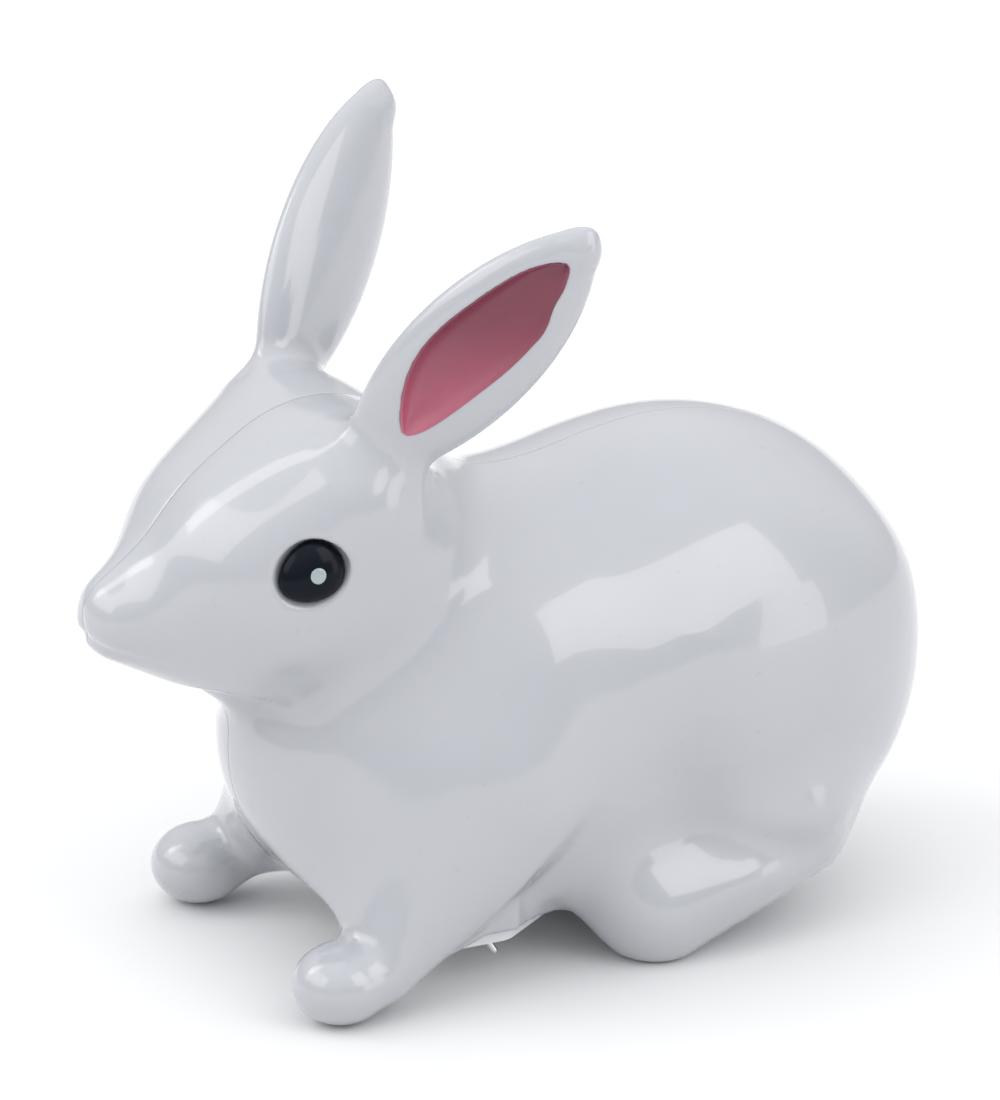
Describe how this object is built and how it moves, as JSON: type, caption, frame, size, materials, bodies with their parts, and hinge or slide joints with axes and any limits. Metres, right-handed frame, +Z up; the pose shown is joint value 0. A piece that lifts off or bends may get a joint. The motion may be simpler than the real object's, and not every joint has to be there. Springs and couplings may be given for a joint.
{
  "type": "rabbit water bottle",
  "caption": "Rabbit-shaped water bottle: hollow tank in two halves, belly plate, quarter-turn filler cap and push-pin drinking valve.",
  "frame": {"origin": "on the ground under the feet, in the mid-plane of the rabbit, below the middle of its length", "axes": "+Z up, -Y the way the rabbit faces, +X its left side; the two shells meet at X = 0"},
  "size_m": [0.0988, 0.1791, 0.1644],
  "materials": {
    "shell_white": "high gloss moulded white",
    "plate_white": "satin moulded white",
    "cap_white": "satin moulded pale grey",
    "seal_rubber": "smooth dark rubber",
    "screw_steel": "zinc plated",
    "valve_plastic": "natural acetal",
    "pin_steel": "polished stainless",
    "eye_black": "high gloss black",
    "eye_spot": "printed pale grey",
    "ear_pink": "satin pink paint"
  },
  "bodies": {
    "tank": {"left_body_shell": "shell_white", "right_body_shell": "shell_white", "base_plate": "plate_white", "base_gasket": "seal_rubber", "base_screws": "screw_steel", "valve_body": "valve_plastic", "valve_o_ring": "seal_rubber", "valve_retainer": "valve_plastic", "valve_spring": "pin_steel", "left_eye": "eye_black", "left_eye_spot": "eye_spot", "left_ear_lining": "ear_pink", "right_eye": "eye_black", "right_eye_spot": "eye_spot", "right_ear_lining": "ear_pink"},
    "cap": {"filler_cap": "cap_white", "cap_o_ring": "seal_rubber"},
    "trigger": {"trigger_pin": "pin_steel", "valve_ball": "pin_steel"}
  },
  "joints": [
    {"name": "cap_turn", "type": "hinge", "parent": "tank", "child": "cap", "pos_m": [0, 0.02368, 0.009], "axis": [0, 0, 1], "range_deg": [0, 90]},
    {"name": "pin_push", "type": "slide", "parent": "tank", "child": "trigger", "axis": [-0.2909, -0.4714, 0.8325], "range_m": [0, 0.0015], "stiffness_N_per_m": 150, "springref_m": -0.0015, "deforming": ["valve_spring"]}
  ]
}
